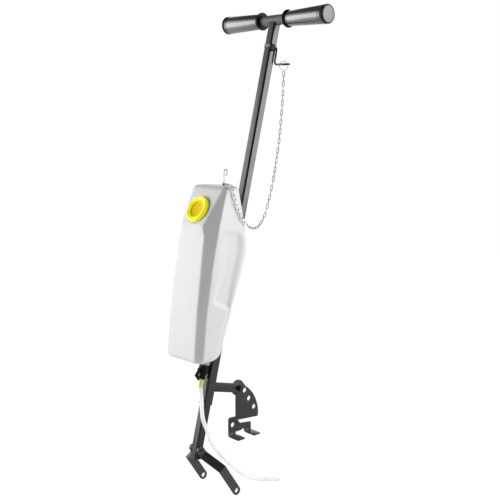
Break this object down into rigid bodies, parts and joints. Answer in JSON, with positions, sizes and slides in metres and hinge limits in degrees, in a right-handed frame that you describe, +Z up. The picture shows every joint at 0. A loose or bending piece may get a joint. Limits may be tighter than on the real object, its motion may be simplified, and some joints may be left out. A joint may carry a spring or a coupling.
{
  "type": "leaning handle column with hung liquid tank",
  "caption": "Square column on a cranked fork with a T handlebar, a hung liquid tank with screw cap, outlet tap, drain hose, pull chain and an index bracket on a sliding sleeve.",
  "frame": {"origin": "midway between the centres of the two pin holes at the ends of the fork arms", "axes": "+Z up, +X along the handlebar to its right end, -Y the way the tank faces; the column leans back towards +Y"},
  "size_m": [0.3518, 0.3391, 1.1699],
  "materials": {
    "powder_coat": "satin",
    "black_steel": "satin",
    "bright_steel": "gloss",
    "brass": "satin",
    "black_plastic": "gloss",
    "grey_plastic": "satin",
    "yellow_plastic": "satin",
    "tank_plastic": "satin",
    "clear_tube": "gloss",
    "black_rubber": "matte"
  },
  "bodies": {
    "fork": {"fork_arm_right": "powder_coat", "fork_arm_left": "powder_coat", "fork_washer_left": "black_steel", "fork_bolt": "black_steel"},
    "handle": {"column": "powder_coat", "column_plug": "black_plastic", "cross_bar": "powder_coat", "grip_left": "black_plastic", "grip_collar_left": "black_plastic", "grip_cap_left": "grey_plastic", "grip_right": "black_plastic", "grip_collar_right": "black_plastic", "grip_cap_right": "grey_plastic", "hook_band": "black_steel", "hook_rod": "black_steel", "hook_clip": "black_steel", "tank": "tank_plastic", "rod_grommet": "black_rubber", "outlet_nut": "grey_plastic", "valve_body": "black_plastic", "hose_barb": "brass", "hose_clip": "bright_steel", "tank_screw_lower": "black_steel", "tank_spacer_lower": "black_rubber", "tank_screw_upper": "black_steel", "tank_spacer_upper": "black_rubber", "hose": "clear_tube", "chain": "bright_steel", "split_ring": "bright_steel"},
    "sleeve": {"sleeve": "powder_coat", "sleeve_screw": "black_steel", "sleeve_nut": "black_steel", "side_bar": "powder_coat", "bracket_washer": "black_steel", "bracket_bolt": "black_steel", "bracket_nut": "black_steel"},
    "bracket": {"index_bracket": "powder_coat"},
    "cap": {"filler_cap": "yellow_plastic", "cap_gasket": "black_rubber"},
    "valve_rod": {"valve_rod": "bright_steel", "valve_seal": "black_rubber"},
    "tap": {"tap_lever": "black_plastic"}
  },
  "joints": [
    {"name": "column_pivot", "type": "hinge", "parent": "fork", "child": "handle", "pos_m": [0, -0.07074, 0.10607], "axis": [1, 0, 0], "range_deg": [-15, 10]},
    {"name": "sleeve_slide", "type": "slide", "parent": "handle", "child": "sleeve", "axis": [0, 0.2436, 0.9699], "range_m": [-0.02, 0.02]},
    {"name": "bracket_pivot", "type": "hinge", "parent": "sleeve", "child": "bracket", "pos_m": [0, 0.0635, 0.23165], "axis": [1, 0, 0], "range_deg": [-20, 20]},
    {"name": "cap_turn", "type": "hinge", "parent": "handle", "child": "cap", "pos_m": [0, -0.0594, 0.6892], "axis": [0, -0.8554, 0.518], "continuous": true},
    {"name": "valve_lift", "type": "slide", "parent": "handle", "child": "valve_rod", "axis": [0, 0.1366, 0.9906], "range_m": [0, 0.012]},
    {"name": "tap_turn", "type": "hinge", "parent": "handle", "child": "tap", "pos_m": [0, -0.0484, 0.3005], "axis": [0, 0.9699, -0.2436], "range_deg": [0, 90]}
  ]
}
